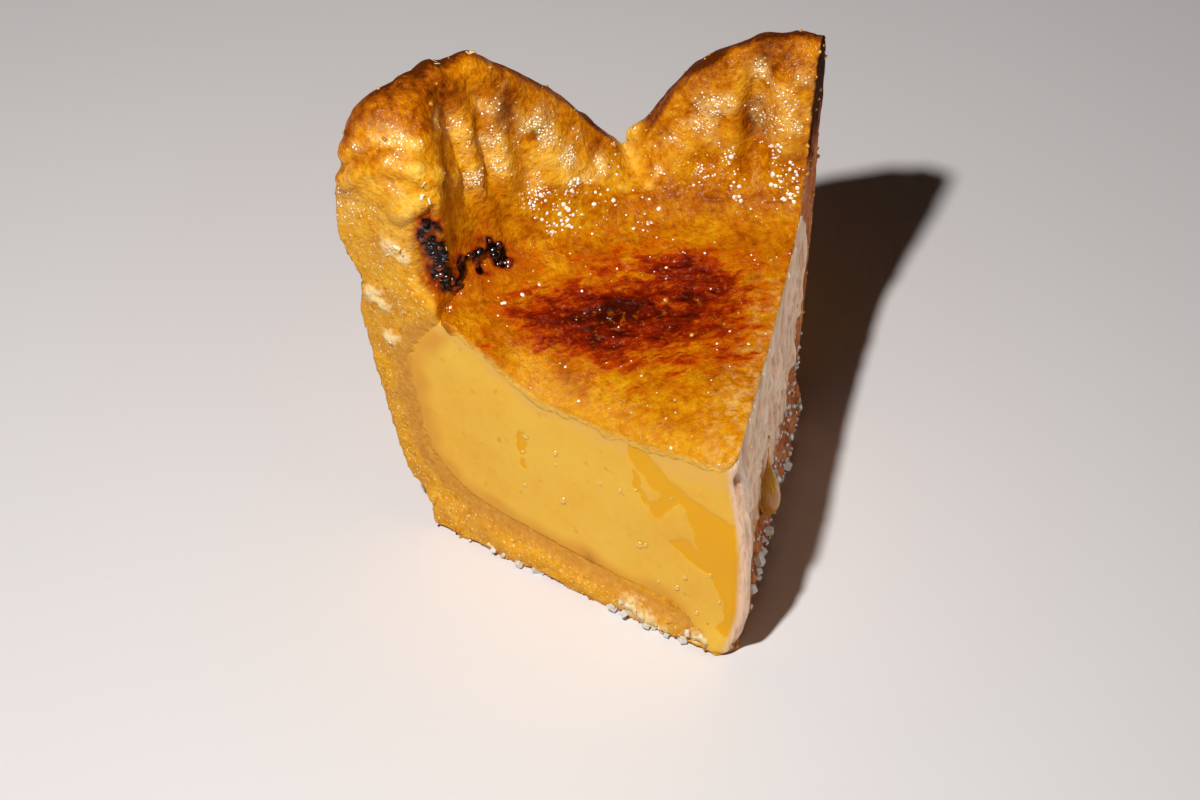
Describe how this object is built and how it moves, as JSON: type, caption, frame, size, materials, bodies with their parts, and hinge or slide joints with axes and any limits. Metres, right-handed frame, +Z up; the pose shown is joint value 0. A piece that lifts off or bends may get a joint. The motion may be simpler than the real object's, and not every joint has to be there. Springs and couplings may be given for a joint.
{
  "type": "creme brulee pie slice",
  "caption": "Wedge of creme brulee pie that stands on its base: a crimped shortcrust shell filled with set custard under a burnt sugar top.",
  "frame": {"origin": "on the surface that the slice stands on, under the middle of its bounding box", "axes": "+Z up, +Y from the tip of the slice towards the middle of its crimped rim, +X to the right as seen from the tip"},
  "size_m": [0.069, 0.0588, 0.0669],
  "materials": {
    "baked_crust": "egg-washed shortcrust, golden brown and satin on the rim, dry and crumbly below",
    "custard": "smooth set custard, moist satin with a soft glow",
    "burnt_sugar": "torched sugar glaze, glossy amber to dark red-brown, black where charred",
    "coarse_sugar": "clear to milky coarse sugar crystals",
    "syrup": "clear wet syrup"
  },
  "bodies": {
    "root": {"crust": "baked_crust", "custard": "custard", "caramel_top": "burnt_sugar"}
  },
  "joints": []
}
